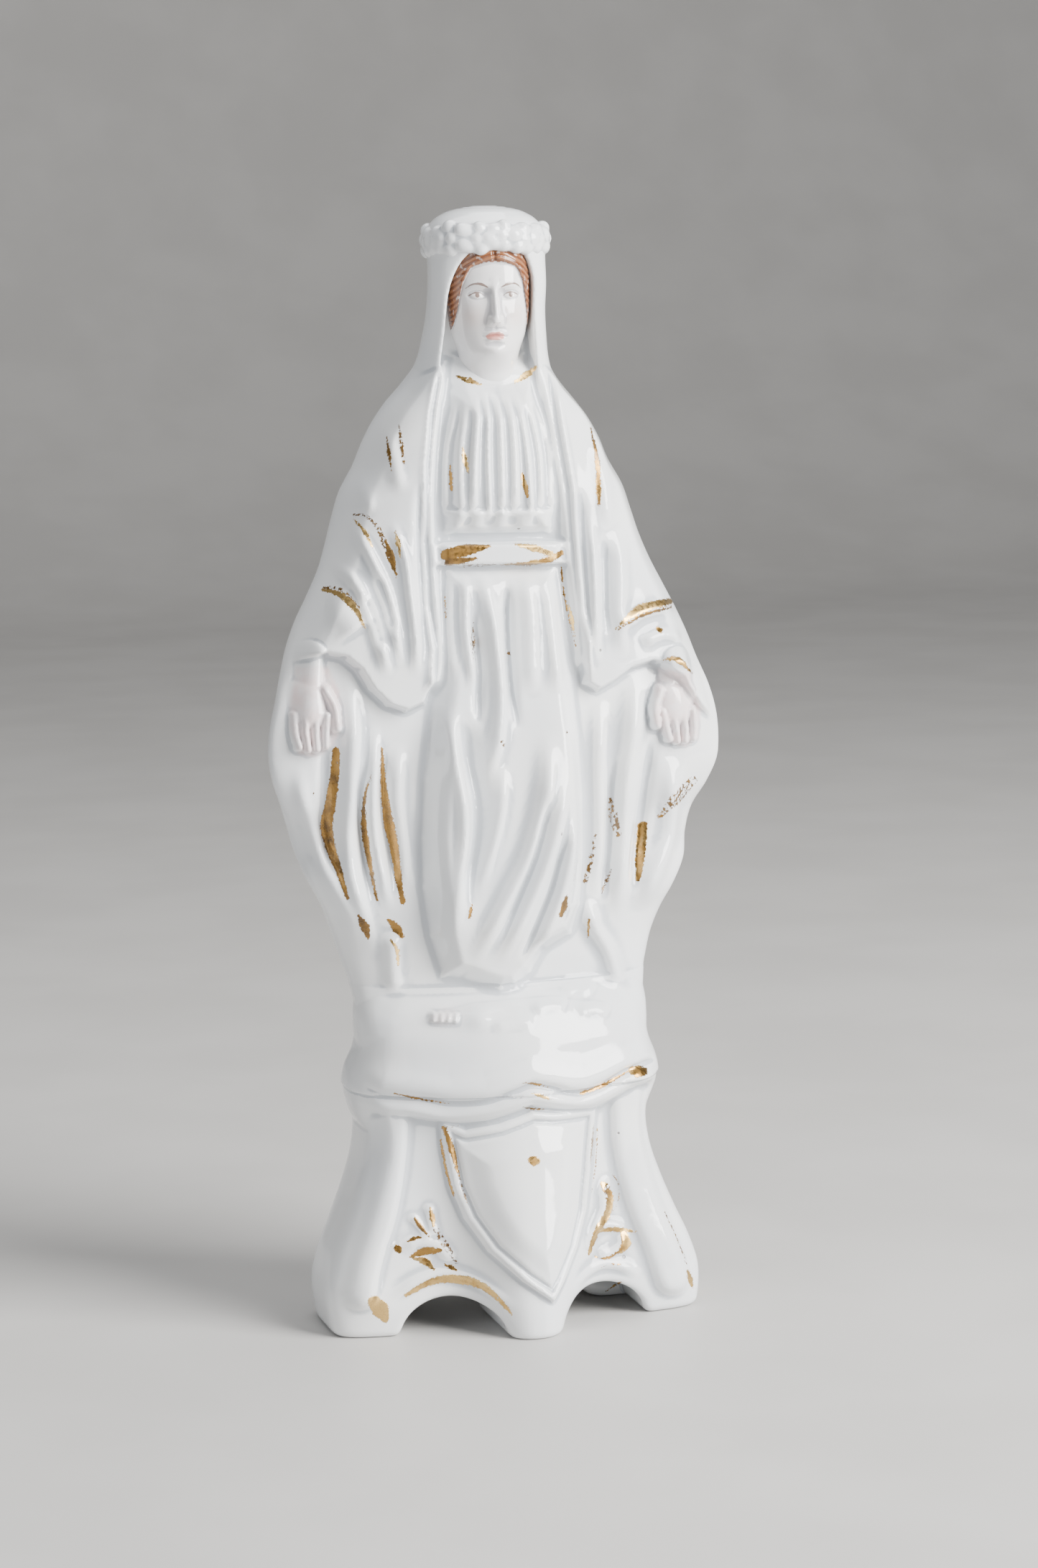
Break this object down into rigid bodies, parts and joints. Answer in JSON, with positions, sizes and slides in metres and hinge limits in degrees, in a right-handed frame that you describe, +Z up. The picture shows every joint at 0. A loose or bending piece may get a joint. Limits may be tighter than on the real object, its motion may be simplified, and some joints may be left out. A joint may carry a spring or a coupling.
{
  "type": "madonna statuette",
  "caption": "Hollow glazed porcelain Madonna with open arms, veil and rose wreath, standing on a cloud ledge over a flared plinth with arched feet.",
  "frame": {"origin": "middle of the whole statuette's bounds, on the resting plane, under the figure's own axis from side to side", "axes": "+Z up along the figure, -Y the way she faces, +X her left"},
  "size_m": [0.0921, 0.0466, 0.22],
  "materials": {
    "glazed_porcelain": "clear gloss glaze over white porcelain",
    "gilt_porcelain": "clear gloss glaze over white porcelain, touched with worn gilding",
    "tinted_porcelain": "clear gloss glaze over white porcelain, with painted flesh and hair"
  },
  "bodies": {
    "root": {"plinth_front_shell": "glazed_porcelain", "plinth_back_shell": "glazed_porcelain", "ledge_moulding": "gilt_porcelain", "shield_panel": "gilt_porcelain", "right_leaf_scroll": "gilt_porcelain", "left_leaf_scroll": "gilt_porcelain", "cloud_ledge": "glazed_porcelain", "mantle_front_shell": "glazed_porcelain", "mantle_back_shell": "glazed_porcelain", "bodice": "glazed_porcelain", "sash": "gilt_porcelain", "skirt": "glazed_porcelain", "right_sleeve": "glazed_porcelain", "left_sleeve": "glazed_porcelain", "right_hand": "tinted_porcelain", "left_hand": "tinted_porcelain", "right_foot": "tinted_porcelain", "head": "tinted_porcelain", "veil": "glazed_porcelain", "wreath_band": "glazed_porcelain", "wreath_roses": "glazed_porcelain"}
  },
  "joints": []
}
